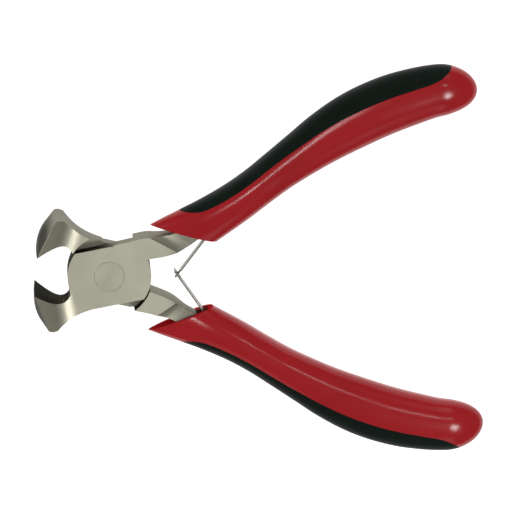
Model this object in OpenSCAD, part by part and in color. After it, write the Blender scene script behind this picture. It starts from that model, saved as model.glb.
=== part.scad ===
/* [Joint] */
// Thickness of the lap joint, both plates together
joint_t = 8.5; // [7.5:0.25:10]
// Radius of each joint plate
plate_r = 11.5; // [11:0.1:12]
// Half of the height of a joint plate between its flats
plate_half_h = 8.2; // [7.6:0.1:8.6]
// Radial gap between a plate and the step that it turns in
step_gap = 0.45; // [0.3:0.05:0.8]
// Turn of the front plate's flats from its handle, degrees
front_plate_turn = -4.5; // [-5:0.5:0]
// Turn of the rear plate's flats from its handle, degrees
rear_plate_turn = 0; // [-2:0.5:4.5]
// Gap between the two plates
lap_gap = 0.08; // [0.04:0.02:0.2]
// Radius of the rivet's shank
rivet_r = 2.6; // [2:0.1:3]
// Radius of the rivet's flush heads
rivet_head_r = 4.2; // [3.4:0.1:5]
// Depth of each countersunk rivet head
rivet_head_t = 1.6; // [1:0.1:2]
// Running clearance of the rivet in the rear plate, on the radius
rivet_clear = 0.05; // [0.02:0.01:0.1]
// How far the handles are spread at rest, from closed
open_angle = 28.8; // [20:0.4:32]

/* [Jaws] */
// Pivot to the cutting edge
jaw_reach = 21; // [20:0.25:23]
// Cutting edge to the outer corner of a jaw
jaw_depth = 12.1; // [11.3:0.1:13]
// Length of the cutting edge
edge_w = 19; // [15:0.5:22]
// Width of the outermost band of a jaw's front, between its bevels
nose_w = 5; // [3:0.5:7]
// Turn of both jaws about the pivot, from the handles' mean pose, degrees
head_turn = -4.5; // [-5:0.5:2]
// Slope of the flared sides at the cutting edge, from the plates' faces
flare_angle = 36; // [30:1:40]
// Radius of the hollow fillet between plate and flare
flare_r = 10; // [6:0.5:12]
// Gap left between the closed cutting edges
edge_gap = 0.1; // [0.04:0.02:0.3]

/* [Shanks and tangs] */
// Height of a shank's inner edge above the closed tool's centre line
shank_inner = 1.7; // [1.5:0.05:2]
// Width of a shank beside the joint
shank_w = 6.8; // [6:0.2:7.4]
// Thickness of a tang
tang_t = 6; // [5:0.25:6.5]
// Width of a tang inside its grip
tang_w = 4.4; // [3.6:0.2:5]
// Radius of the thumb hollow ground into each face of a shank
scoop_r = 6.5; // [5:0.5:10]

/* [Grips] */
// Length of a grip, from the front of its collar's sweep to its tail
grip_len = 99; // [93:1:105]
// How far a grip bows outwards over its length
grip_rise = 20; // [17:0.5:23]
// Greatest width of a grip, across the palm
grip_w = 16; // [15:0.25:17]
// Greatest thickness of a grip
grip_t = 11.6; // [11:0.2:13]
// Turn of the upper handle from the mean pose, degrees
upper_turn = 2; // [-2:0.2:3]
// Turn of the lower handle from the mean pose, degrees
lower_turn = -2; // [-3:0.2:2]

/* [Springs] */
// Thickness of the spring leaves
leaf_t = 0.4; // [0.3:0.05:0.5]
// Width of the upper leaf
upper_leaf_w = 3; // [2.6:0.1:3.2]
// Width of the upper leaf's tongue
tongue_w = 1.3; // [1:0.1:1.5]
// Width of the lower leaf
lower_leaf_w = 4.2; // [3.8:0.1:4.6]
// Width of the window in the lower leaf
window_w = 2.1; // [2:0.1:2.6]
// Radius of the pins at the leaves' roots
spring_pin_r = 0.7; // [0.5:0.05:0.8]
// Clearance of a leaf's eye on its pin, on the radius
eye_clear = 0.05; // [0.03:0.01:0.1]

/* [Hidden] */
$fn = 96;
half_t = joint_t / 2;
step_r = plate_r + step_gap;
half_open = open_angle / 2;
// One overrun for every cut
over = 1;
steel = [0.66, 0.65, 0.58];
spring_steel = [0.5, 0.5, 0.48];
red = [0.63, 0.12, 0.14];
black = [0.07, 0.09, 0.08];

// Points of a jaw, as shares of its reach and its depth
nose_mid_shares = [[1.005, 0], [1.055, 0.27], [1.05, 0.66], [0.94, 0.86]];
nose_edge_shares = [[0.995, 0], [0.92, 0.27], [0.87, 0.6], [0.74, 0.88]];
throat_shares = [[1, 0], [0.78, 0.4], [0.65, 0.5], [0.545, 0.24]];
corner_shares = [[0.9, 0.915], [0.86, 0.955]];
waist_shares = [[0.8, 0.965], [0.62, 0.76]];
curve_steps = 14;
// The plates' ground faces stand this far above the roots of the jaws and shanks
plate_proud = 0.03;

// The grip: shares of length, rise, half width and half thickness
grip_start = [12, 3.8];
grip_shares = [
    [0, 0, 0.93, 0.3], [0.04, 0.044, 0.905, 0.45], [0.08, 0.09, 0.88, 0.6],
    [0.13, 0.148, 0.83, 0.74], [0.19, 0.22, 0.77, 0.86], [0.27, 0.33, 0.72, 0.93],
    [0.34, 0.45, 0.7, 0.94], [0.41, 0.58, 0.73, 0.92], [0.49, 0.715, 0.81, 0.93],
    [0.56, 0.825, 0.9, 0.95], [0.64, 0.92, 0.98, 0.98], [0.72, 0.98, 1, 1],
    [0.8, 1, 0.98, 0.98], [0.9, 0.97, 0.9, 0.92], [1, 0.82, 0.84, 0.85]];
// Where the round tail begins along the grip
tail_share = 0.9;
// Squareness of the grip's section, 2 is an ellipse
section_power = 2.3;
grip_rings = 36;
tail_rings = 6;
grip_sides = 32;
grip_mid = [60, 18];
// The collar is cut along the line between these two points
collar_tip = [14.4, 11.7];
collar_corner = [30.5, 1.7];
// The inlay's inner edge: shares of length and of half width
inlay_shares = [
    [0.12, 1.1], [0.15, 0.8], [0.19, 0.58], [0.28, 0.5], [0.43, 0.47], [0.58, 0.38],
    [0.73, 0.33], [0.86, 0.37], [0.9, 0.5], [0.925, 0.8], [0.935, 1.1]];
// Where the tang has its even width, and how far it reaches into the grip
tang_from = 0.22;
tang_share = 0.8;
// The thumb hollows bottom out this far in front of the collar at the shank's outer edge, askew to it
hollow_before = 0.4;
hollow_from = 6;
hollow_turn = -14;
// Clearance of the sleeve on its tang
tang_clear = 0.05;

// The leaves' roots in the closed mean frame, and where they cross at rest
spring_root = [29.8, 5];
spring_cross = [18.8, -0.85];
eye_r = spring_pin_r + eye_clear + leaf_t;
ear_wall = 1.05;
ear_r = spring_pin_r + ear_wall;
slot_side = 0.3;
// Fit of a pin in its ears, on the radius
pin_fit = 0.01;
// First and last direction that a leaf leaves its pin in, over its swing
swing = [196, 224];
// What the sleeves' room for the leaves leaves free on either side of that swing
swing_spare = 3;
// Along a leaf, measured from the crossing: where the tongue, the window and the ends lie
shoulder_before = 1.6;
tongue_past = 1;
window_before = 1.4;
window_past = 0.9;
bar_w = 0.5;

function turned(p, a) = [p.x * cos(a) - p.y * sin(a), p.x * sin(a) + p.y * cos(a)];
function handle_point(p, turn) = grip_mid + turned(p - grip_mid, turn);
function bezier(p, t) = p[0] * pow(1 - t, 3) + 3 * p[1] * pow(1 - t, 2) * t
    + 3 * p[2] * (1 - t) * t * t + p[3] * t * t * t;
function curve(p) = [for (i = [0 : curve_steps]) bezier(p, i / curve_steps)];
function jaw_points(shares) = [for (s = shares) [-jaw_reach * s.x, -edge_gap / 2 - jaw_depth * s.y]];

// Smooth value from column k of a table whose first column rises
function row_of(table, s, i = 0) =
    (i >= len(table) - 2 || s < table[i + 1][0]) ? i : row_of(table, s, i + 1);
function slope(table, k, i) = let (a = max(i - 1, 0), b = min(i + 1, len(table) - 1))
    (table[b][k] - table[a][k]) / (table[b][0] - table[a][0]);
function smooth_at(table, s, k) = let (
        i = row_of(table, s),
        h = table[i + 1][0] - table[i][0],
        u = (s - table[i][0]) / h)
    table[i][k] * (1 + 2 * u) * pow(1 - u, 2) + table[i + 1][k] * u * u * (3 - 2 * u)
    + h * slope(table, k, i) * u * pow(1 - u, 2) - h * slope(table, k, i + 1) * u * u * (1 - u);

function grip_at(s) = grip_start + [grip_len * s, grip_rise * smooth_at(grip_shares, s, 1)];
function grip_dir(s) = let (d = 0.01, v = grip_at(min(s + d, 1)) - grip_at(max(s - d, 0))) v / norm(v);
function grip_side(s) = let (d = grip_dir(s)) [-d.y, d.x];
function grip_half_w(s) = grip_w / 2 * smooth_at(grip_shares, s, 2);
function grip_half_t(s) = grip_t / 2 * smooth_at(grip_shares, s, 3);

// A rounded section's unit point at angle a
function round_sign(v) = sign(v) * pow(abs(v), 2 / section_power);
function grip_ring(s, shrink) = [for (k = [0 : grip_sides - 1]) let (
        a = 360 * k / grip_sides,
        v = grip_half_w(s) * shrink * round_sign(cos(a)),
        w = grip_half_t(s) * shrink * round_sign(sin(a)),
        p = grip_at(s) + grip_side(s) * v)
    [p.x, p.y, w]];

module swept(rings) {
    n = len(rings[0]);
    last = len(rings) - 1;
    walls = [for (r = [0 : last - 1], k = [0 : n - 1]) let (
            a = r * n + k,
            b = r * n + (k + 1) % n)
        each [[a, a + n, b], [b, a + n, b + n]]];
    ends = [[for (k = [0 : n - 1]) k], [for (k = [n - 1 : -1 : 0]) last * n + k]];
    polyhedron(points = [for (r = rings) each r], faces = concat(walls, ends));
}

module grip_body() {
    straight = [for (i = [0 : grip_rings]) grip_ring(tail_share * i / grip_rings, 1)];
    tail = [for (i = [1 : tail_rings]) let (a = 88 * i / tail_rings)
        grip_ring(tail_share + (1 - tail_share) * sin(a), cos(a))];
    swept(concat(straight, tail));
}

// Half plane behind the collar's cut
module behind_collar() {
    along = (collar_corner - collar_tip) / norm(collar_corner - collar_tip);
    deep = [-along.y, along.x] * grip_len * 2;
    ends = [collar_tip - along * grip_len, collar_corner + along * grip_len];
    linear_extrude(grip_t * 2, center = true)
        polygon([ends[0], ends[1], ends[1] + deep, ends[0] + deep]);
}

// A half in its closed pose: plate above the middle plane, jaw to -X and -Y, handle to +X and +Y
module plate() {
    translate([0, 0, lap_gap / 2])
        linear_extrude(half_t - lap_gap / 2)
            intersection() {
                circle(plate_r);
                square([plate_r * 2, plate_half_h * 2], center = true);
            }
}

// The hollow waist runs from the jaw's outer corner into the flat of the plate
jaw_flat = -plate_half_h + plate_proud;
jaw_root = [-plate_r * 0.4, jaw_flat];
jaw_waist = curve(concat(jaw_points(waist_shares), [[-plate_r * 0.8, jaw_flat], jaw_root]));
module jaw_outline(shares) {
    tail = [[jaw_root.x, -edge_gap / 2]];
    polygon(concat(curve(jaw_points(shares)), jaw_points(corner_shares), jaw_waist, tail));
}

// The hollow flare of the jaw's sides, drawn in X and Z
module flare_profile() {
    base = half_t - plate_proud;
    run = (edge_w / 2 - base - flare_r * (1 - cos(flare_angle))) / tan(flare_angle);
    start_x = -jaw_reach + flare_r * sin(flare_angle) + run;
    arc = [for (i = [0 : curve_steps]) let (a = flare_angle * i / curve_steps)
        [start_x - flare_r * sin(a), base + flare_r * (1 - cos(a))]];
    top = concat([[0, base]], arc, [[-jaw_reach, edge_w / 2], [-jaw_reach * 1.2, edge_w / 2]]);
    polygon(concat(top, [for (i = [len(top) - 1 : -1 : 0]) [top[i].x, -top[i].y]]));
}

module jaw() {
    throat = jaw_points(throat_shares);
    front_x = -jaw_reach * 1.2;
    mouth = [[throat[3].x, over], [front_x, over], [front_x, -edge_gap / 2]];
    below = -jaw_depth * 2;
    outside = [
        [jaw_root.x + over, jaw_flat], [jaw_root.x + over, below], [jaw_waist[0].x, below]];
    difference() {
        intersection() {
            hull() {
                linear_extrude(nose_w, center = true)
                    jaw_outline(nose_mid_shares);
                linear_extrude(edge_w, center = true)
                    jaw_outline(nose_edge_shares);
            }
            rotate([90, 0, 0])
                linear_extrude(jaw_depth * 3, center = true)
                    flare_profile();
        }
        linear_extrude(edge_w * 2, center = true)
            polygon(concat(curve(throat), mouth));
        linear_extrude(edge_w * 2, center = true)
            polygon(concat(jaw_waist, outside));
    }
}

// Inner and outer edge of a shank: shares of the plate's radius and of the shank's width
shank_in_shares = [
    [0.3, 0], [1.05, 0], [1.5, 0.02], [1.75, 0.1], [2.1, 0.3], [2.35, 0.44], [2.6, 0.56]];
shank_out_shares = [[0.7, 0.92], [1.09, 0.89], [1.4, 0.84], [1.74, 0.84], [2.26, 1.04]];
shank_steps = 12;
function shank_edge(table) = [for (i = [0 : shank_steps]) let (
        x = table[0][0] + (table[len(table) - 1][0] - table[0][0]) * i / shank_steps)
    [plate_r * x, shank_inner + shank_w * smooth_at(table, x, 1)]];
function tang_edge(side, clear) = [for (i = [0 : shank_steps]) let (
        s = tang_from + (tang_share - tang_from) * i / shank_steps)
    grip_at(s) + grip_side(s) * side * (tang_w / 2 + clear)];
// Near the joint a shank keeps to the head, further out it turns with its handle
function shank_place(p, turn) = let (k = min(max((p.x - step_r) / plate_r, 0), 1))
    p + (handle_point(p, turn) - p) * k;
function backwards(list) = [for (i = [len(list) - 1 : -1 : 0]) list[i]];

shank_inside = concat(shank_edge(shank_in_shares), tang_edge(-1, 0));
shank_outside = concat(
    [[shank_inside[0].x, plate_half_h]], shank_edge(shank_out_shares), tang_edge(1, 0));
function shank_outline(turn) =
    [for (p = concat(shank_inside, backwards(shank_outside))) shank_place(p, turn)];

module shank(turn) {
    root = handle_point(spring_root, turn);
    difference() {
        linear_extrude(joint_t - plate_proud * 2, center = true)
            polygon(shank_outline(turn));
        handle_place(turn)
            shank_hollows();
    }
    translate([root.x, root.y])
        cylinder(r = ear_r, h = tang_t, center = true);
}

// The thumb hollows of both faces, run out into the thinner tang
module shank_hollows() {
    along = collar_corner - collar_tip;
    turn = atan2(along.y, along.x);
    for (side = [0, 1])
        mirror([0, 0, side])
            translate([collar_tip.x, collar_tip.y, tang_t / 2])
                rotate(turn)
                    translate([hollow_from, -hollow_before])
                        rotate(hollow_turn) {
                            translate([0, 0, scoop_r])
                                rotate([0, 90, 0])
                                    cylinder(r = scoop_r, h = grip_len, center = true);
                            translate([-grip_len / 2, 0, 0])
                                cube([grip_len * 2, grip_len * 2, joint_t]);
                        }
}

// Slot for a leaf's eye and its swing, and the hole for its pin
module spring_seat(turn) {
    root = handle_point(spring_root, turn);
    slot_r = eye_r + slot_side;
    round_end = [for (i = [0 : curve_steps]) let (
            a = swing[1] + 90 + (180 - swing[1] + swing[0]) * i / curve_steps)
        [slot_r * cos(a), slot_r * sin(a)]];
    translate([root.x, root.y]) {
        cylinder(r = spring_pin_r + pin_fit, h = tang_t + over, center = true);
        linear_extrude(upper_leaf_w + slot_side * 2, center = true)
            polygon(concat(round_end,
                [turned([ear_r * 2, -slot_r], swing[0]), turned([ear_r * 2, slot_r], swing[1])]));
    }
}

module half(turn, head, flats, clear) {
    difference() {
        union() {
            difference() {
                union() {
                    rotate(head)
                        jaw();
                    shank(turn);
                }
                translate([0, 0, -edge_w])
                    cylinder(r = step_r, h = edge_w + lap_gap / 2 + plate_proud);
            }
            rotate(flats)
                plate();
        }
        rivet(clear);
        spring_seat(turn);
    }
}

module rivet(clear = 0) {
    cylinder(r = rivet_r + clear, h = joint_t, center = true);
    for (side = [0, 1])
        mirror([0, 0, side])
            translate([0, 0, half_t - rivet_head_t])
                cylinder(r1 = rivet_r + clear, r2 = rivet_head_r + clear, h = rivet_head_t);
}

module handle_place(turn) {
    translate([grip_mid.x, grip_mid.y, 0])
        rotate(turn)
            translate([-grip_mid.x, -grip_mid.y, 0])
                children();
}

module upper_place() {
    translate([0, 0, half_t])
        rotate(half_open)
            children();
}

module lower_place() {
    translate([0, 0, half_t])
        rotate(-half_open)
            rotate([180, 0, 0])
                children();
}

module grip_outer() {
    intersection() {
        grip_body();
        behind_collar();
    }
}

module inlay_region() {
    steps = 40;
    first = inlay_shares[0][0];
    last = inlay_shares[len(inlay_shares) - 1][0];
    edge = [for (i = [0 : steps]) let (s = first + (last - first) * i / steps)
        grip_at(s) + grip_side(s) * grip_half_w(s) * smooth_at(inlay_shares, s, 1)];
    linear_extrude(grip_t * 2, center = true)
        polygon(concat(edge, [edge[steps] + [0, grip_w], edge[0] + [0, grip_w * 2]]));
}

module sleeve(turn) {
    difference() {
        handle_place(turn)
            difference() {
                grip_outer();
                inlay_region();
                spring_room();
            }
        linear_extrude(tang_t + tang_clear * 2, center = true)
            offset(delta = tang_clear)
                polygon(shank_outline(turn));
    }
}

// Room in the sleeve for the spring's ear and for the leaf's swing out of the mouth
module spring_room() {
    slot_r = leaf_t / 2 + slot_side;
    reach = norm(collar_corner - collar_tip);
    translate([spring_root.x, spring_root.y]) {
        cylinder(r = ear_r + tang_clear, h = tang_t + tang_clear * 2, center = true);
        linear_extrude(lower_leaf_w + slot_side * 2, center = true)
            polygon([turned([0, slot_r], swing[1]), turned([reach, slot_r], swing[1] + swing_spare),
                turned([reach, -slot_r], swing[0] - swing_spare), turned([0, -slot_r], swing[0])]);
    }
}

module inlay() {
    intersection() {
        grip_outer();
        inlay_region();
    }
}

// A leaf along +X from its pin: crossing is the distance to where the leaves cross
module leaf_eye() {
    difference() {
        cylinder(r = eye_r, h = upper_leaf_w, center = true);
        cylinder(r = spring_pin_r + eye_clear, h = upper_leaf_w + over, center = true);
    }
}

module strip(from, to, width) {
    translate([from, -leaf_t / 2, -width / 2])
        cube([to - from, leaf_t, width]);
}

eye_mid = spring_pin_r + eye_clear + leaf_t / 2;
function upper_root() = turned(handle_point(spring_root, upper_turn), half_open);
function lower_root() = let (p = turned(handle_point(spring_root, lower_turn), half_open)) [p.x, -p.y];

module leaf_place(root) {
    way = spring_cross - root;
    translate([root.x, root.y, half_t])
        rotate(atan2(way.y, way.x))
            children();
}

module front_half() {
    color(steel)
        upper_place()
            half(upper_turn, head_turn, front_plate_turn, 0);
}

module rear_half() {
    color(steel)
        lower_place()
            half(lower_turn, -head_turn, rear_plate_turn, rivet_clear);
}

module pivot_rivet() {
    color(steel)
        translate([0, 0, half_t])
            rivet();
}

module upper_leaf_spring() {
    reach = norm(spring_cross - upper_root());
    color(spring_steel)
        leaf_place(upper_root()) {
            leaf_eye();
            strip(eye_mid, reach - shoulder_before, upper_leaf_w);
            strip(eye_mid, reach + tongue_past, tongue_w);
        }
}

module lower_leaf_spring() {
    reach = norm(spring_cross - lower_root());
    color(spring_steel)
        leaf_place(lower_root())
            difference() {
                union() {
                    leaf_eye();
                    strip(eye_mid, reach, upper_leaf_w);
                    strip(ear_r + slot_side, reach + window_past + bar_w, lower_leaf_w);
                }
                translate([reach - window_before, -leaf_t, -window_w / 2])
                    cube([window_before + window_past, leaf_t * 2, window_w]);
            }
}

module spring_pin(root) {
    color(spring_steel)
        translate([root.x, root.y, half_t])
            cylinder(r = spring_pin_r, h = tang_t, center = true);
}

module upper_spring_pin() {
    spring_pin(upper_root());
}

module lower_spring_pin() {
    spring_pin(lower_root());
}

module upper_grip_sleeve() {
    color(red)
        upper_place()
            sleeve(upper_turn);
}

module lower_grip_sleeve() {
    color(red)
        lower_place()
            sleeve(lower_turn);
}

module upper_grip_inlay() {
    color(black)
        upper_place()
            handle_place(upper_turn)
                inlay();
}

module lower_grip_inlay() {
    color(black)
        lower_place()
            handle_place(lower_turn)
                inlay();
}

front_half();
rear_half();
pivot_rivet();
upper_leaf_spring();
lower_leaf_spring();
upper_spring_pin();
lower_spring_pin();
upper_grip_sleeve();
lower_grip_sleeve();
upper_grip_inlay();
lower_grip_inlay();
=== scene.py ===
"""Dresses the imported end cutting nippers: ground steel, leaf springs, moulded grips and a pale stage."""

import math
from types import SimpleNamespace

import bmesh
import bpy
from mathutils import Matrix, Vector


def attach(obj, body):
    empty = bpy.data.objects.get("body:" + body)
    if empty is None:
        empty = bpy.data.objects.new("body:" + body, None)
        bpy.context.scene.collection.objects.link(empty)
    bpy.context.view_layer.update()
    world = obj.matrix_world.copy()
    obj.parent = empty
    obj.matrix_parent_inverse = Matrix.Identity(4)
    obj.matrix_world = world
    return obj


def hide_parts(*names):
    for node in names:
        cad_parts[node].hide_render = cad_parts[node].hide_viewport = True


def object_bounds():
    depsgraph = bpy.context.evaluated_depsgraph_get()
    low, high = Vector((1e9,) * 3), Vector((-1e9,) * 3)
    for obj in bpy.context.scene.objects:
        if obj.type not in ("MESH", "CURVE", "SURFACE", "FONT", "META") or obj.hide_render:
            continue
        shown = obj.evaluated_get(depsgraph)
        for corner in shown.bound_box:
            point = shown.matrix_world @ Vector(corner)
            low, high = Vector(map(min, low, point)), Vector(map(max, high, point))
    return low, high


bl_info = {
    "name": "End Cutting Nippers",
    "version": (1, 0, 0),
    "blender": (4, 5, 0),
    "location": "View3D > Sidebar > Nippers",
    "description": "Builds the look of a pair of end cutting nippers around its CAD frame",
    "category": "Object",
}

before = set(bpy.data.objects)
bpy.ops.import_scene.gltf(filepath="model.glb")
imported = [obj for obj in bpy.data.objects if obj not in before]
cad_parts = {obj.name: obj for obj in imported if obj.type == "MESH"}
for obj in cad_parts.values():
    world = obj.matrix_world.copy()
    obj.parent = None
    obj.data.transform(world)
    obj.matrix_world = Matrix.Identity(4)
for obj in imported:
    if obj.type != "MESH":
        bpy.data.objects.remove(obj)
CAD_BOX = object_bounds()
MM = 0.001

# Along a grip: shares of its length, its rise, its half width and its half thickness
GRIP_STATIONS = (
    (0.0, 0.0, 0.93, 0.3),
    (0.04, 0.044, 0.905, 0.45),
    (0.08, 0.09, 0.88, 0.6),
    (0.13, 0.148, 0.83, 0.74),
    (0.19, 0.22, 0.77, 0.86),
    (0.27, 0.33, 0.72, 0.93),
    (0.34, 0.45, 0.7, 0.94),
    (0.41, 0.58, 0.73, 0.92),
    (0.49, 0.715, 0.81, 0.93),
    (0.56, 0.825, 0.9, 0.95),
    (0.64, 0.92, 0.98, 0.98),
    (0.72, 0.98, 1.0, 1.0),
    (0.8, 1.0, 0.98, 0.98),
    (0.9, 0.97, 0.9, 0.92),
    (1.0, 0.82, 0.84, 0.85),
)
# The inlay's inner edge: shares of the grip's length and of its half width
INLAY_EDGE = (
    (0.12, 1.1),
    (0.15, 0.8),
    (0.19, 0.58),
    (0.28, 0.5),
    (0.43, 0.47),
    (0.58, 0.38),
    (0.73, 0.33),
    (0.86, 0.37),
    (0.9, 0.5),
    (0.925, 0.8),
    (0.935, 1.1),
)
# Places on the closed upper handle, in mm from the pivot
GRIP_START = Vector((12.0, 3.8, 0.0))
GRIP_MID = Vector((60.0, 18.0, 0.0))
COLLAR_TIP = Vector((14.4, 11.7, 0.0))
COLLAR_CORNER = Vector((30.5, 1.7, 0.0))
# The collar is mitred along the line from its tip to its corner
COLLAR_WAY = (COLLAR_CORNER - COLLAR_TIP).normalized()
COLLAR_INWARDS = Vector((-COLLAR_WAY.y, COLLAR_WAY.x, 0.0))
# The grip's section is a superellipse of this power, and its tail closes in after this share of its length
SECTION_POWER = 2.3
TAIL_SHARE = 0.9
TAIL_CLOSED = math.radians(88)
SEAM_LEAST = math.radians(1.0)
GRIP_RINGS = 200
TAIL_RINGS = 48
SLEEVE_POINTS = 60
INLAY_POINTS = 30
# Edges sharper than these are broken on steel, and stay sharp on the mouldings
STEEL_SHARP = math.radians(28.0)
SLEEVE_SHARP = math.radians(32.0)
INLAY_SHARP = math.radians(40.0)
# Copies of CAD nodes: points merged within this many metres, faces joined when flat within this angle
MERGE_WITHIN = 2e-6
FLAT_WITHIN = math.radians(0.6)
# Material slots of the steel halves. Painted shade darkens the ground steel by the grips, the skin, the
# flank and the flat; the chamfer's slot is a painted highlight.
GROUND, SKIN_AND_SHADE, FLANK_AND_SHADE, CHAMFER_HIGHLIGHT, FLAT = range(5)
# Material slots of the sleeves
GLOSSY, MOUTH = range(2)
# Sides of the tool, with the body of each handle
HANDLES = (("upper", "front_body"), ("lower", "rear_body"))
# Lamps of the stage: name, place and sides in metres, watts
LAMPS = (
    ("main_box", (0.52, -0.31, 1.14), (0.2, 0.2), 4.0),
    ("left_box", (-1.2, 0.3, 0.85), (1.0, 0.8), 4.0),
    ("near_box", (0.05, -1.25, 0.85), (1.0, 0.8), 2.0),
    ("far_box", (0.15, 1.25, 0.85), (1.0, 0.8), 3.0),
    ("top_lamp", (-0.13, 0.03, 1.29), (0.14, 0.14), 1.2),
    ("right_lamp", (0.43, 0.24, 1.22), (0.1, 0.1), 0.45),
)
STAGE_MIDDLE = Vector((0.04, 0.0, 0.0))
FLOOR_RADIUS = 4.0
FLOOR_GAP = 0.0002
SKY_LOW = (0.2, 0.2, 0.19, 1.0)
SKY_HIGH = (0.27, 0.27, 0.27, 1.0)
# Side of the square picture in pixels, and of the camera's sensor in mm
PICTURE_SIDE = 515.0
SENSOR_SIDE = 36.0


def length(name, description, default, low, high):
    """A length that a user may change: given in mm, kept in metres."""
    return bpy.props.FloatProperty(
        name=name, description=description, default=default * MM, min=low * MM, max=high * MM, unit="LENGTH"
    )


def turn(name, description, default, low, high):
    """An angle that a user may change: given in degrees, kept in radians."""
    middle, least, most = (math.radians(angle) for angle in (default, low, high))
    return bpy.props.FloatProperty(
        name=name, description=description, default=middle, min=least, max=most, subtype="ANGLE"
    )


def pixels(name, description, default):
    """A number of pixels that a user may change."""
    return bpy.props.FloatProperty(
        name=name, description=description, default=default, min=0.0, subtype="PIXEL"
    )


def tint(name, description, default):
    """A colour that a user may change."""
    return bpy.props.FloatVectorProperty(
        name=name, description=description, subtype="COLOR", size=3, default=default, min=0.0, max=1.0
    )


class NipperSizes(bpy.types.PropertyGroup):
    """Lengths of the grips and of the edges, as in the CAD frame."""

    joint_thickness: length("Joint thickness", "Both plates together", 8.5, 7.5, 10.0)
    grip_length: length("Grip length", "Length of a grip's sweep", 99.0, 90.0, 105.0)
    grip_rise: length("Grip rise", "How far a grip bows outwards", 20.0, 17.0, 23.0)
    grip_width: length("Grip width", "Greatest width across the palm", 16.0, 15.0, 17.0)
    grip_thickness: length("Grip thickness", "Greatest thickness", 11.6, 11.0, 13.0)
    lip: length("Lip", "Rounding of the collar's lip", 0.18, 0.05, 0.4)
    pocket_from: length("Pocket from", "Collar's tip to the spring's pocket", 13.4, 12.5, 14.5)
    pocket_to: length("Pocket to", "Collar's tip to the far side of the pocket", 17.4, 16.5, 17.8)
    pocket_width: length("Pocket width", "Width of the spring's pocket", 4.6, 4.4, 5.4)
    pocket_depth: length("Pocket depth", "Depth of the spring's pocket", 4.2, 3.8, 5.0)
    pocket_draft: length("Pocket draft", "How far the pocket widens towards its floor", 0.9, 0.0, 1.2)
    # The chamfer's rounding is real; its faces get a painted highlight, a lighter copy of the steel
    chamfer: length("Chamfer", "Polished rounding along the jaws' flares", 0.4, 0.1, 0.5)
    steel_edge: length("Steel edge", "Broken edge of the forged halves", 0.22, 0.05, 0.5)
    rivet_edge: length("Rivet edge", "Broken edge of the rivet", 0.1, 0.02, 0.2)
    spring_edge: length("Spring edge", "Broken edge of the leaves", 0.07, 0.02, 0.15)


class NipperTurns(bpy.types.PropertyGroup):
    """Turns of the handles."""

    spread: turn("Spread", "Turn of each half from closed", 14.4, 10.0, 16.0)
    upper: turn("Upper turn", "Turn of the upper handle from the mean pose", 2.0, -3.0, 3.0)
    lower: turn("Lower turn", "Turn of the lower handle from the mean pose", -2.0, -3.0, 3.0)


class NipperColours(bpy.types.PropertyGroup):
    """Colours of the finishes."""

    steel: tint("Steel", "Satin forged steel", (0.43, 0.418, 0.33))
    spring: tint("Spring", "Spring steel", (0.21, 0.21, 0.19))
    # Skin: forged skin of the unground walls, darkened further as painted shade in the throat and the recess
    skin: tint("Skin", "Dark skin left where the grinder does not reach", (0.07, 0.068, 0.055))
    # Flank: dull steel of the walls, darkened as painted shade; it also covers the recess's lap and the
    # hollows by the grips
    flank: tint("Flank", "Dull steel of the outer walls", (0.29, 0.28, 0.222))
    # The noses' colour is painted shade, blended in along X over the dull flank
    nose: tint("Nose", "Dull steel of the jaws' noses", (0.06, 0.058, 0.047))
    sleeve: tint("Sleeve", "Glossy red moulding", (0.38, 0.0115, 0.0155))
    inlay: tint("Inlay", "Matte black moulding", (0.0035, 0.0085, 0.0055))
    floor: tint("Floor", "Pale floor, which also glows", (0.5, 0.5, 0.5))


class NipperView(bpy.types.PropertyGroup):
    """Where the camera stands, seen from the pivot."""

    tilt: turn("Tilt", "From straight above towards the upper handle", 14.5, 0.0, 60.0)
    side: turn("Side", "Turn of that tilt towards the jaws", 10.0, -90.0, 90.0)
    roll: turn("Roll", "Roll of the picture", 1.0, -45.0, 45.0)
    distance: length("Distance", "Camera to the tool", 1400.0, 300.0, 5000.0)
    scale: pixels("Scale", "Pixels for a millimetre at the pivot", 3.63)
    pivot_x: pixels("Pivot across", "Pixel column of the pivot", 109.2)
    pivot_y: pixels("Pivot down", "Pixel row of the pivot", 272.9)


def sizes():
    """The lengths in mm."""
    group = bpy.context.scene.nipper_sizes
    return SimpleNamespace(**{name: getattr(group, name) / MM for name in NipperSizes.__annotations__})


def colours():
    """The colours as plain tuples."""
    group = bpy.context.scene.nipper_colours
    return SimpleNamespace(**{name: tuple(getattr(group, name)) for name in NipperColours.__annotations__})


def smooth_at(table, s, k):
    """Smooth value of column k of a table whose first column rises."""
    i = 0
    while i < len(table) - 2 and s >= table[i + 1][0]:
        i += 1

    def slope(j):
        a, b = max(j - 1, 0), min(j + 1, len(table) - 1)
        return (table[b][k] - table[a][k]) / (table[b][0] - table[a][0])

    h = table[i + 1][0] - table[i][0]
    u = (s - table[i][0]) / h
    return (
        table[i][k] * (1 + 2 * u) * (1 - u) ** 2
        + table[i + 1][k] * u * u * (3 - 2 * u)
        + h * slope(i) * u * (1 - u) ** 2
        - h * slope(i + 1) * u * u * (1 - u)
    )


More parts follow.
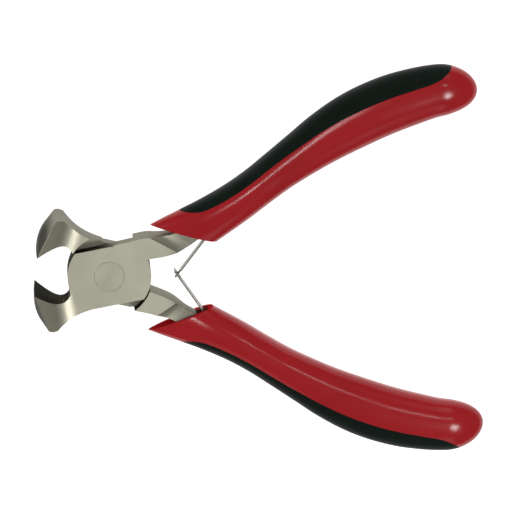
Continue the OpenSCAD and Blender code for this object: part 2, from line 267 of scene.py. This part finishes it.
class Grip:
    """The swept form that a sleeve and its inlay share, on the closed upper handle in mm."""

    def __init__(self):
        self.size = sizes()

    def centre(self, s):
        rise = self.size.grip_rise * smooth_at(GRIP_STATIONS, s, 1)
        return GRIP_START + Vector((self.size.grip_length * s, rise, 0.0))

    def side(self, s):
        """Way across the grip, towards its back, at share s of its length."""
        step = 0.01
        way = self.centre(min(s + step, 1.0)) - self.centre(max(s - step, 0.0))
        return Vector((-way.y, way.x, 0.0)).normalized()

    def point(self, s, angle, shrink):
        """Point of the surface at share s of the length and an angle round it, 0 at the back of the grip."""
        c, d = math.cos(angle), math.sin(angle)
        power = 2 / SECTION_POWER
        half_width = self.size.grip_width / 2 * smooth_at(GRIP_STATIONS, s, 2) * shrink
        half_thickness = self.size.grip_thickness / 2 * smooth_at(GRIP_STATIONS, s, 3) * shrink
        across = half_width * math.copysign(abs(c) ** power, c)
        up = half_thickness * math.copysign(abs(d) ** power, d)
        return self.centre(s) + self.side(s) * across + Vector((0.0, 0.0, up))

    def rings(self, first, last, angles):
        """Rings from share first to last, with the round tail closing in. angles gives a ring's angles."""
        rings = []
        for i in range(GRIP_RINGS + 1):
            s = first + (min(last, TAIL_SHARE) - first) * i / GRIP_RINGS
            rings.append([self.point(s, a, 1.0) for a in angles(s)])
        if last > TAIL_SHARE:
            reach = math.asin(min((last - TAIL_SHARE) / (1 - TAIL_SHARE), math.sin(TAIL_CLOSED)))
            for i in range(1, TAIL_RINGS + 1):
                a = reach * i / TAIL_RINGS
                s = TAIL_SHARE + (1 - TAIL_SHARE) * math.sin(a)
                rings.append([self.point(s, t, math.cos(a)) for t in angles(s)])
        return rings


def seam_angle(s):
    """Angle of the inlay's edge on the grip's section, near 0 where there is no inlay."""
    if not INLAY_EDGE[0][0] < s < INLAY_EDGE[-1][0]:
        return SEAM_LEAST
    edge = min(smooth_at(INLAY_EDGE, s, 1), 1.0)
    return max(math.acos(edge ** (SECTION_POWER / 2)), SEAM_LEAST)


def handle_matrix(side):
    """From the closed mean pose, in mm, to the handle's place in the frame, in metres."""
    turns = bpy.context.scene.nipper_turns
    upper = side == "upper"
    own = Matrix.Rotation(turns.upper if upper else turns.lower, 4, "Z")
    place = Matrix.Translation(GRIP_MID) @ own @ Matrix.Translation(-GRIP_MID)
    if not upper:
        place = Matrix.Rotation(math.pi, 4, "X") @ place
    place = Matrix.Rotation(turns.spread if upper else -turns.spread, 4, "Z") @ place
    return Matrix.Scale(MM, 4) @ Matrix.Translation((0, 0, sizes().joint_thickness / 2)) @ place


def sweep(bm, rings):
    """Extrudes a closed loop from ring to ring. Returns the last loop's vertices."""
    loop = bmesh.ops.create_circle(bm, segments=len(rings[0]), radius=1.0)["verts"]
    for v, p in zip(loop, rings[0]):
        v.co = p
    for ring in rings[1:]:
        edges = [bm.edges.get((loop[i - 1], loop[i])) for i in range(len(loop))]
        made = bmesh.ops.extrude_edge_only(bm, edges=edges)["geom"]
        found = {tuple(v.co): v for v in made if isinstance(v, bmesh.types.BMVert)}
        loop = [found[tuple(v.co)] for v in loop]
        for v, p in zip(loop, ring):
            v.co = p
    return loop


def need_closed(bm, what):
    """Raises an error where a moulding has an open edge."""
    if any(not e.is_manifold for e in bm.edges):
        raise RuntimeError(f"the {what} isn't closed")


def finished_piece(bm, name, sharp):
    """A smooth-shaded object at the origin from the bmesh."""
    mesh = bpy.data.meshes.new(name)
    bm.to_mesh(mesh)
    bm.free()
    mesh.shade_smooth()
    mesh.set_sharp_from_angle(angle=sharp)
    obj = bpy.data.objects.new(name, mesh)
    bpy.context.scene.collection.objects.link(obj)
    return obj


def settle(obj, body, materials, node):
    """Gives a piece its finishes and its body, and hides the CAD node that it stands for."""
    for material in materials:
        obj.data.materials.append(material)
    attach(obj, body)
    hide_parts(node)


def broken_edge_copy(node, name, edge, finish=None, polished=None):
    """A merged copy of a CAD node with its sharp edges broken.

    finish gives a face's material from its middle in mm and its normal. The last argument says which edges,
    from the two faces that they join, get a wider rounding whose faces carry a painted highlight.
    """
    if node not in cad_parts:
        raise RuntimeError(f"the frame has no {node}")
    bm = bmesh.new()
    bm.from_mesh(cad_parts[node].data)
    bmesh.ops.remove_doubles(bm, verts=bm.verts, dist=MERGE_WITHIN)
    bmesh.ops.dissolve_limit(bm, angle_limit=FLAT_WITHIN, verts=bm.verts, edges=bm.edges)
    for face in bm.faces:
        face.material_index = finish(face.calc_center_median() / MM, face.normal) if finish else 0
    if polished:
        picked = [e for e in bm.edges if len(e.link_faces) == 2 and polished(*e.link_faces)]
        if not picked:
            raise RuntimeError(f"{node} has no edge to polish")
        rounded = round_edges(bm, picked, sizes().chamfer * MM, 4)
        # The rounded faces take the chamfer's painted highlight
        for face in rounded:
            face.material_index = CHAMFER_HIGHLIGHT
    obj = finished_piece(bm, name, STEEL_SHARP)
    bevel = obj.modifiers.new("broken_edges", "BEVEL")
    bevel.width = edge * MM
    bevel.segments = 2
    bevel.limit_method = "ANGLE"
    bevel.angle_limit = STEEL_SHARP
    bevel.miter_outer = "MITER_ARC"
    even = obj.modifiers.new("even_faces", "WEIGHTED_NORMAL")
    even.weight = 100
    even.keep_sharp = True
    return obj


def round_edges(bm, edges, offset, segments):
    """Rounds some edges of the bmesh. Returns the new faces."""
    return bmesh.ops.bevel(
        bm,
        geom=edges,
        offset=offset,
        offset_type="OFFSET",
        segments=segments,
        profile=0.5,
        affect="EDGES",
        material=-1,
        clamp_overlap=True,
    )["faces"]


def shade(colour, factor):
    """A lighter or darker tone of a colour."""
    return tuple(min(c * factor, 1.0) for c in colour)


class Finish:
    """A material's node tree, with short calls for the nodes that the finishes share."""

    def __init__(self, name):
        self.material = bpy.data.materials.new(name)
        self.material.use_nodes = True
        self.tree = self.material.node_tree
        self.shader = self.tree.nodes["Principled BSDF"]
        self.place = self.tree.nodes.new("ShaderNodeTexCoord")

    def link(self, start, end):
        self.tree.links.new(start, end)

    def give(self, start, name):
        """Links a value to one of the shader's sockets."""
        self.link(start, self.shader.inputs[name])

    def set(self, **values):
        """Puts constants on the shader's sockets."""
        for name, value in values.items():
            self.shader.inputs[name.replace("_", " ")].default_value = value

    def noise(self, scale, detail, stretch=(1.0, 1.0, 1.0), turned=0.0):
        mapping = self.tree.nodes.new("ShaderNodeMapping")
        mapping.inputs["Scale"].default_value = stretch
        mapping.inputs["Rotation"].default_value = (0.0, 0.0, turned)
        self.link(self.place.outputs["Object"], mapping.inputs["Vector"])
        node = self.tree.nodes.new("ShaderNodeTexNoise")
        node.inputs["Scale"].default_value = scale
        node.inputs["Detail"].default_value = detail
        self.link(mapping.outputs["Vector"], node.inputs["Vector"])
        return node.outputs["Fac"]

    def rings(self, scale):
        """Rings round the pivot, as a lathe leaves them."""
        node = self.tree.nodes.new("ShaderNodeTexWave")
        node.wave_type = "RINGS"
        node.rings_direction = "Z"
        node.inputs["Scale"].default_value = scale
        node.inputs["Distortion"].default_value = 0.6
        self.link(self.place.outputs["Object"], node.inputs["Vector"])
        return node.outputs["Fac"]

    def along_x(self):
        """Place along X in metres, from the pivot."""
        node = self.tree.nodes.new("ShaderNodeSeparateXYZ")
        self.link(self.place.outputs["Object"], node.inputs["Vector"])
        return node.outputs["X"]

    def blended(self, value, first, last, start, end):
        """From one colour to another while the value goes from start to end."""
        node = self.tree.nodes.new("ShaderNodeMapRange")
        node.interpolation_type = "SMOOTHSTEP"
        node.inputs["From Min"].default_value = start
        node.inputs["From Max"].default_value = end
        self.link(value, node.inputs["Value"])
        mix = self.tree.nodes.new("ShaderNodeMix")
        mix.data_type = "RGBA"
        self.link(node.outputs["Result"], mix.inputs["Factor"])
        self.link(first, mix.inputs["A"])
        self.link(last, mix.inputs["B"])
        return mix.outputs["Result"]

    def tones(self, value, colour, low, high):
        """Slow change between two tones of a colour, given as factors."""
        node = self.tree.nodes.new("ShaderNodeValToRGB")
        for element, position, factor in zip(node.color_ramp.elements, (0.3, 0.7), (low, high)):
            element.position = position
            element.color = (*shade(colour, factor), 1.0)
        self.link(value, node.inputs["Fac"])
        return node.outputs["Color"]

    def ranged(self, value, low, high):
        """The middle of a noise's range spread from low to high."""
        node = self.tree.nodes.new("ShaderNodeMapRange")
        node.inputs["From Min"].default_value = 0.3
        node.inputs["From Max"].default_value = 0.7
        node.inputs["To Min"].default_value = low
        node.inputs["To Max"].default_value = high
        self.link(value, node.inputs["Value"])
        return node.outputs["Result"]

    def bump(self, value, strength, depth, under=None):
        node = self.tree.nodes.new("ShaderNodeBump")
        node.inputs["Strength"].default_value = strength
        node.inputs["Distance"].default_value = depth
        self.link(value, node.inputs["Height"])
        if under is not None:
            self.link(under, node.inputs["Normal"])
        return node.outputs["Normal"]


def ground_steel(name, colour, roughness, grinding=0.0, lathe=False, edge=1.0, painted_shade=None):
    """Satin steel: fine grain, faint grinding lines or turned rings, and a slow change of tone.

    grinding is the way of the lines in radians, and edge dulls the steel at a low angle. The last argument
    is a darker colour painted on as shade, with the places along X, in metres, where it starts and where it
    is full.
    """
    f = Finish(name)
    f.set(Metallic=1.0, Specular_Tint=(edge, edge, edge, 1.0))
    tone = f.noise(scale=90.0, detail=3.0)
    grain = f.noise(scale=2600.0, detail=5.0)
    if lathe:
        lines = f.rings(scale=1500.0)
    else:
        lines = f.noise(scale=500.0, detail=3.0, stretch=(1.0, 14.0, 14.0), turned=grinding)
    body = f.tones(tone, colour, 0.93, 1.06)
    # Painted shade: the steel blends into a darker colour along X
    if painted_shade:
        other, start, full = painted_shade
        body = f.blended(f.along_x(), body, f.tones(tone, other, 0.93, 1.06), start, full)
    f.give(body, "Base Color")
    f.give(f.ranged(lines, *roughness), "Roughness")
    fine = f.bump(grain, strength=0.12, depth=0.00004)
    f.give(f.bump(lines, strength=0.1, depth=0.00005, under=fine), "Normal")
    return f.material


def moulded_red(name, roughness, shine):
    """Red moulding with a slight ripple of the surface."""
    f = Finish(name)
    f.give(f.tones(f.noise(scale=60.0, detail=3.0), colours().sleeve, 0.93, 1.07), "Base Color")
    f.give(f.ranged(f.noise(scale=150.0, detail=2.0), *roughness), "Roughness")
    f.give(f.bump(f.noise(scale=420.0, detail=2.0), strength=0.01, depth=0.0001), "Normal")
    f.set(IOR=1.33, Specular_IOR_Level=shine)
    return f.material


def moulded_black():
    """Matte moulding with a fine spark-eroded grain."""
    f = Finish("moulded_black")
    grain = f.noise(scale=3200.0, detail=4.0)
    f.give(f.tones(f.noise(scale=120.0, detail=3.0), colours().inlay, 0.85, 1.2), "Base Color")
    f.give(f.ranged(grain, 0.42, 0.55), "Roughness")
    f.give(f.bump(grain, strength=0.2, depth=0.00006), "Normal")
    f.set(IOR=1.33, Specular_IOR_Level=0.15)
    return f.material


class NIPPERS_OT_steel_halves(bpy.types.Operator):
    """Ground steel halves with broken edges, over the CAD's two forgings"""

    bl_idname = "nippers.steel_halves"
    bl_label = "Steel Halves"

    def execute(self, context):
        materials = self.materials()
        # The mouth lies on the +Y side of the front half's jaw, and on the -Y side of the rear half's
        for node, body, mouth in (("front_half", "front_body", 1.0), ("rear_half", "rear_body", -1.0)):
            edge, finish = sizes().steel_edge, self.finish_of(mouth)
            half = broken_edge_copy(node, f"ground_{node}", edge, finish=finish, polished=self.flare_edge)
            settle(half, body, materials, node)
        return {"FINISHED"}

    def materials(self):
        """The finishes in the order of their slots."""
        c = colours()
        along, across = 0.3, 1.2
        # Painted shade, where the steel darkens along X in metres: near the grips, on the jaws' noses, by
        # the jaws' roots
        shade_near_grips = (shade(c.steel, 0.5), 0.0145, 0.0215)
        shade_on_noses = (c.nose, -0.0142, -0.0178)
        shade_by_roots = (c.skin, 0.004, -0.002)
        return (
            ground_steel("ground_steel", c.steel, (0.36, 0.46), grinding=along, painted_shade=shade_near_grips),
            ground_steel("forged_skin", c.skin, (0.42, 0.55), grinding=across, edge=0.25),
            ground_steel("dull_flank", c.flank, (0.4, 0.5), grinding=across, edge=0.5, painted_shade=shade_on_noses),
            # The chamfer's colour is the steel at double brightness: a painted highlight
            ground_steel("polished_chamfer", shade(c.steel, 2.0), (0.38, 0.46), grinding=along),
            ground_steel("plate_flat", c.flank, (0.4, 0.5), grinding=across, edge=0.4, painted_shade=shade_by_roots),
        )

    def finish_of(self, mouth):
        """A test of a face's middle, in mm, and normal that gives its slot. mouth is its side along Y."""
        middle = sizes().joint_thickness / 2
        step_radius = 12.3
        flat_height, flat_room = 8.2, 1.2
        throat_from, throat_reach = -10.0, 13.0
        hollow_from = 12.0
        lap_room = 0.5
        # Shares of a normal along an axis that tell walls, slopes and level faces apart
        wall_share, slope_share, hollow_share = 0.35, 0.6, 0.965
        level_share, round_share, throat_share = 0.9, 0.95, 0.15

        def test(centre, normal):
            radius = math.hypot(centre.x, centre.y)
            upright = abs(normal.z)
            wall = upright < wall_share
            facing = abs(normal.x * centre.x + normal.y * centre.y)
            by_plate = abs(abs(centre.y) - flat_height) < flat_room and abs(centre.x) < step_radius
            # The front plate's flat wall: dull steel with painted shade towards the jaws' roots; the rear's
            # is plain flank
            if wall and abs(normal.y) > level_share and by_plate:
                return FLAT if mouth > 0 else FLANK_AND_SHADE
            # Throat walls and the recess's round walls: forged skin, darkened further as painted shade
            in_throat = centre.x < throat_from and abs(centre.y) < throat_reach
            if wall and in_throat and normal.y * mouth > throat_share:
                return SKIN_AND_SHADE
            if wall and radius < step_radius and facing > round_share * radius:
                return SKIN_AND_SHADE
            # The recess's lap, the hollows by the grips and steep walls: dull steel, darkened as painted
            # shade
            lap = upright > level_share and abs(centre.z - middle) < lap_room and radius < step_radius
            hollow = centre.x > hollow_from and upright < hollow_share
            return FLANK_AND_SHADE if lap or hollow or upright < slope_share else GROUND

        return test

    def flare_edge(self, one, other):
        """Whether the edge between two faces is the one between a jaw's flare and its nose."""
        jaws_from = -12.0 * MM
        facing_share, flare_least, flare_most = 0.3, 0.7, 0.97
        for flare, nose in ((one, other), (other, one)):
            sloped = flare_least < abs(flare.normal.z) < flare_most and flare.normal.x > facing_share
            if sloped and nose.normal.x < -facing_share and flare.calc_center_median().x < jaws_from:
                return True
        return False


class NIPPERS_OT_pivot_rivet(bpy.types.Operator):
    """Flush rivet with a fine turned face"""

    bl_idname = "nippers.pivot_rivet"
    bl_label = "Pivot Rivet"

    def execute(self, context):
        material = ground_steel("turned_steel", shade(colours().steel, 0.97), (0.34, 0.44), lathe=True)
        rivet = broken_edge_copy("pivot_rivet", "flush_rivet", sizes().rivet_edge)
        settle(rivet, "front_body", (material,), "pivot_rivet")
        return {"FINISHED"}


class NIPPERS_OT_leaf_springs(bpy.types.Operator):
    """Return-spring leaves and their root pins"""

    bl_idname = "nippers.leaf_springs"
    bl_label = "Leaf Springs"

    def execute(self, context):
        materials = (ground_steel("spring_steel", colours().spring, (0.3, 0.42)),)
        edge = sizes().spring_edge
        for side, holder in HANDLES:
            leaf = broken_edge_copy(f"{side}_leaf_spring", f"{side}_leaf", edge)
            settle(leaf, f"{side}_leaf", materials, f"{side}_leaf_spring")
            pin = broken_edge_copy(f"{side}_spring_pin", f"{side}_root_pin", edge)
            settle(pin, holder, materials, f"{side}_spring_pin")
        return {"FINISHED"}


class NIPPERS_OT_grip_sleeves(bpy.types.Operator):
    """Red moulded sleeves with a mitred collar and a pocket for the spring"""

    bl_idname = "nippers.grip_sleeves"
    bl_label = "Grip Sleeves"

    def execute(self, context):
        glossy = moulded_red("moulded_red", (0.15, 0.19), shine=0.5)
        matte = moulded_red("mouth_red", (0.6, 0.7), shine=0.0)
        for side, body in HANDLES:
            sleeve = finished_piece(self.sleeve_mesh(side), f"{side}_sleeve", SLEEVE_SHARP)
            settle(sleeve, body, (glossy, matte), f"{side}_grip_sleeve")
        return {"FINISHED"}

    def sleeve_mesh(self, side):
        def angles(s):
            edge = seam_angle(s)
            return [edge + (2 * math.pi - 2 * edge) * i / (SLEEVE_POINTS - 1) for i in range(SLEEVE_POINTS)]

        bm = bmesh.new()
        tail = sweep(bm, Grip().rings(0.0, 1.0, angles))
        bmesh.ops.contextual_create(bm, geom=tail)
        cut = bmesh.ops.bisect_plane(
            bm,
            geom=bm.verts[:] + bm.edges[:] + bm.faces[:],
            plane_co=COLLAR_TIP,
            plane_no=COLLAR_INWARDS,
            clear_inner=True,
        )["geom_cut"]
        rim = [e for e in cut if isinstance(e, bmesh.types.BMEdge)]
        mouth = bmesh.ops.contextual_create(bm, geom=rim)["faces"]
        self.spring_pocket(bm, mouth)
        bmesh.ops.recalc_face_normals(bm, faces=bm.faces)
        for face in bm.faces:
            face.material_index = MOUTH if self.on_mouth(face) else GLOSSY
        round_edges(bm, [e for e in bm.edges if self.on_lip(e)], sizes().lip, 3)
        need_closed(bm, f"{side} sleeve")
        bmesh.ops.transform(bm, matrix=handle_matrix(side), verts=bm.verts)
        return bm

    def spring_pocket(self, bm, mouth):
        """Pocket in the mouth's face, beside the shank, that the leaf swings in."""
        z = sizes()
        up = Vector((0.0, 0.0, 1.0))
        for place, normal in (
            (COLLAR_TIP + COLLAR_WAY * z.pocket_from, COLLAR_WAY),
            (COLLAR_TIP + COLLAR_WAY * z.pocket_to, COLLAR_WAY),
            (up * z.pocket_width / 2, up),
            (-up * z.pocket_width / 2, up),
        ):
            edges = list({e for f in mouth for e in f.edges})
            verts = list({v for f in mouth for v in f.verts})
            geom = mouth + edges + verts
            made = bmesh.ops.bisect_plane(bm, geom=geom, plane_co=place, plane_no=normal)["geom"]
            mouth = [g for g in made if isinstance(g, bmesh.types.BMFace)]
        middle = COLLAR_TIP + COLLAR_WAY * (z.pocket_from + z.pocket_to) / 2
        opening = min(mouth, key=lambda f: (f.calc_center_median() - middle).length)
        floor = bmesh.ops.extrude_discrete_faces(bm, faces=[opening])["faces"][0]
        for v in floor.verts:
            far = (v.co - middle).dot(COLLAR_WAY) > 0
            v.co += COLLAR_INWARDS * z.pocket_depth
            if far:
                v.co += COLLAR_WAY * z.pocket_draft

    def on_mouth(self, face):
        """Whether a face lies along the collar's cut, or along the pocket's floor."""
        return abs(face.normal.dot(COLLAR_INWARDS)) > 0.999

    def on_lip(self, edge):
        """Whether an edge lies between the mouth's face and the outside of the sleeve."""
        on_cut, room, near_tip, near_corner = 0.001, 0.01, 4.0, 2.0
        if len(edge.link_faces) != 2 or any(
            abs((v.co - COLLAR_TIP).dot(COLLAR_INWARDS)) > on_cut for v in edge.verts
        ):
            return False
        one, other = edge.link_faces
        highest = max(abs(v.co.z) for f in (one, other) for v in f.verts)
        start = edge.verts[0].co
        outside = (
            highest > sizes().pocket_width / 2 + room
            or (start - COLLAR_TIP).length < near_tip
            or (start - COLLAR_CORNER).length < near_corner
        )
        return outside and self.on_mouth(one) != self.on_mouth(other)


class NIPPERS_OT_grip_inlays(bpy.types.Operator):
    """Matte black inlays along the backs of the grips"""

    bl_idname = "nippers.grip_inlays"
    bl_label = "Grip Inlays"

    def execute(self, context):
        material = moulded_black()
        for side, body in HANDLES:
            inlay = finished_piece(self.inlay_mesh(side), f"{side}_inlay", INLAY_SHARP)
            settle(inlay, body, (material,), f"{side}_grip_inlay")
        return {"FINISHED"}

    def inlay_mesh(self, side):
        def angles(s):
            edge = seam_angle(s)
            return [-edge + 2 * edge * i / (INLAY_POINTS - 1) for i in range(INLAY_POINTS)]

        inside = 0.001
        bm = bmesh.new()
        tail = sweep(bm, Grip().rings(INLAY_EDGE[0][0] + inside, INLAY_EDGE[-1][0] - inside, angles))
        bmesh.ops.contextual_create(bm, geom=tail)
        bmesh.ops.holes_fill(bm, edges=bm.edges)
        bmesh.ops.recalc_face_normals(bm, faces=bm.faces)
        need_closed(bm, f"{side} inlay")
        bmesh.ops.transform(bm, matrix=handle_matrix(side), verts=bm.verts)
        return bm


class NIPPERS_OT_stage(bpy.types.Operator):
    """Pale floor, soft studio light and the camera"""

    bl_idname = "nippers.stage"
    bl_label = "Stage"

    def execute(self, context):
        self.floor()
        self.sky(context.scene)
        self.lamps(context.scene)
        self.camera(context.scene)
        return {"FINISHED"}

    def floor(self):
        """Round floor just under the tool, lit from below like a light table."""
        bm = bmesh.new()
        bmesh.ops.create_circle(bm, cap_ends=True, segments=96, radius=FLOOR_RADIUS)
        under = Vector((0.0, 0.0, CAD_BOX[0].z - FLOOR_GAP))
        bmesh.ops.translate(bm, verts=bm.verts, vec=STAGE_MIDDLE + under)
        floor = finished_piece(bm, "floor", STEEL_SHARP)
        f = Finish("pale_floor")
        f.give(f.tones(f.noise(scale=12.0, detail=3.0), colours().floor, 0.99, 1.0), "Base Color")
        f.set(Roughness=0.9, IOR=1.2, Emission_Color=(1.0, 1.0, 1.0, 1.0), Emission_Strength=0.92)
        floor.data.materials.append(f.material)

    def sky(self, scene):
        """Faint even light that brightens upwards."""
        world = bpy.data.worlds.new("studio")
        scene.world = world
        world.use_nodes = True
        tree = world.node_tree
        place = tree.nodes.new("ShaderNodeTexCoord")
        split = tree.nodes.new("ShaderNodeSeparateXYZ")
        ramp = tree.nodes.new("ShaderNodeValToRGB")
        for element, position, light in zip(ramp.color_ramp.elements, (0.0, 0.6), (SKY_LOW, SKY_HIGH)):
            element.position = position
            element.color = light
        tree.links.new(place.outputs["Generated"], split.inputs["Vector"])
        tree.links.new(split.outputs["Z"], ramp.inputs["Fac"])
        tree.links.new(ramp.outputs["Color"], tree.nodes["Background"].inputs["Color"])
        tree.nodes["Background"].inputs["Strength"].default_value = 1.0

    def lamps(self, scene):
        for name, place, sides, watts in LAMPS:
            lamp = bpy.data.lights.new(name, "AREA")
            lamp.shape = "RECTANGLE"
            lamp.size, lamp.size_y = sides
            lamp.energy = watts
            obj = bpy.data.objects.new(name, lamp)
            obj.location = place
            obj.rotation_euler = (STAGE_MIDDLE - Vector(place)).to_track_quat("-Z", "Y").to_euler()
            scene.collection.objects.link(obj)

    def camera(self, scene):
        """Camera at the photograph's angle, with the pivot on its pixel."""
        v = scene.nipper_view
        lean = math.sin(v.tilt)
        back = Vector((-lean * math.sin(v.side), lean * math.cos(v.side), math.cos(v.tilt)))
        up0 = (Vector((0, 1, 0)) - back * back.y).normalized()
        right0 = up0.cross(back)
        right = right0 * math.cos(v.roll) - up0 * math.sin(v.roll)
        up = up0 * math.cos(v.roll) + right0 * math.sin(v.roll)
        # The point of the tool's middle plane, in mm, that lies in the middle of the picture
        across = (PICTURE_SIDE / 2 - v.pivot_x) / v.scale
        down = (PICTURE_SIDE / 2 - v.pivot_y) / v.scale
        area = right.x * up.y - right.y * up.x
        target = Vector((across * up.y + down * right.y, -across * up.x - down * right.x, 0.0)) / area
        target.z = sizes().joint_thickness / 2
        lens = bpy.data.cameras.new("camera")
        lens.sensor_fit = "HORIZONTAL"
        lens.sensor_width = SENSOR_SIDE
        lens.lens = SENSOR_SIDE * v.scale * v.distance / MM / PICTURE_SIDE
        lens.clip_start, lens.clip_end = 0.01, 50.0
        camera = bpy.data.objects.new("camera", lens)
        place = Matrix((right, up, back)).transposed().to_4x4()
        place.translation = target * MM + back * v.distance
        camera.matrix_world = place
        scene.collection.objects.link(camera)
        scene.camera = camera
        scene.view_settings.view_transform = "Standard"
        scene.view_settings.look = "None"


class NIPPERS_PT_panel(bpy.types.Panel):
    """Lists the steps in the sidebar"""

    bl_idname = "NIPPERS_PT_panel"
    bl_label = "Nippers"
    bl_space_type = "VIEW_3D"
    bl_region_type = "UI"
    bl_category = "Nippers"

    def draw(self, context):
        for step in STEPS:
            self.layout.operator(step.bl_idname)


STEPS = (
    NIPPERS_OT_steel_halves,
    NIPPERS_OT_pivot_rivet,
    NIPPERS_OT_leaf_springs,
    NIPPERS_OT_grip_sleeves,
    NIPPERS_OT_grip_inlays,
    NIPPERS_OT_stage,
)
GROUPS = (NipperSizes, NipperTurns, NipperColours, NipperView)
CLASSES = (*GROUPS, *STEPS, NIPPERS_PT_panel)


def register():
    for cls in CLASSES:
        bpy.utils.register_class(cls)
    bpy.types.Scene.nipper_sizes = bpy.props.PointerProperty(type=NipperSizes)
    bpy.types.Scene.nipper_turns = bpy.props.PointerProperty(type=NipperTurns)
    bpy.types.Scene.nipper_colours = bpy.props.PointerProperty(type=NipperColours)
    bpy.types.Scene.nipper_view = bpy.props.PointerProperty(type=NipperView)


def unregister():
    del bpy.types.Scene.nipper_view
    del bpy.types.Scene.nipper_colours
    del bpy.types.Scene.nipper_turns
    del bpy.types.Scene.nipper_sizes
    for cls in reversed(CLASSES):
        bpy.utils.unregister_class(cls)


def main():
    register()
    bpy.ops.nippers.steel_halves()
    bpy.ops.nippers.pivot_rivet()
    bpy.ops.nippers.leaf_springs()
    bpy.ops.nippers.grip_sleeves()
    bpy.ops.nippers.grip_inlays()
    bpy.ops.nippers.stage()


if __name__ == "__main__":
    main()
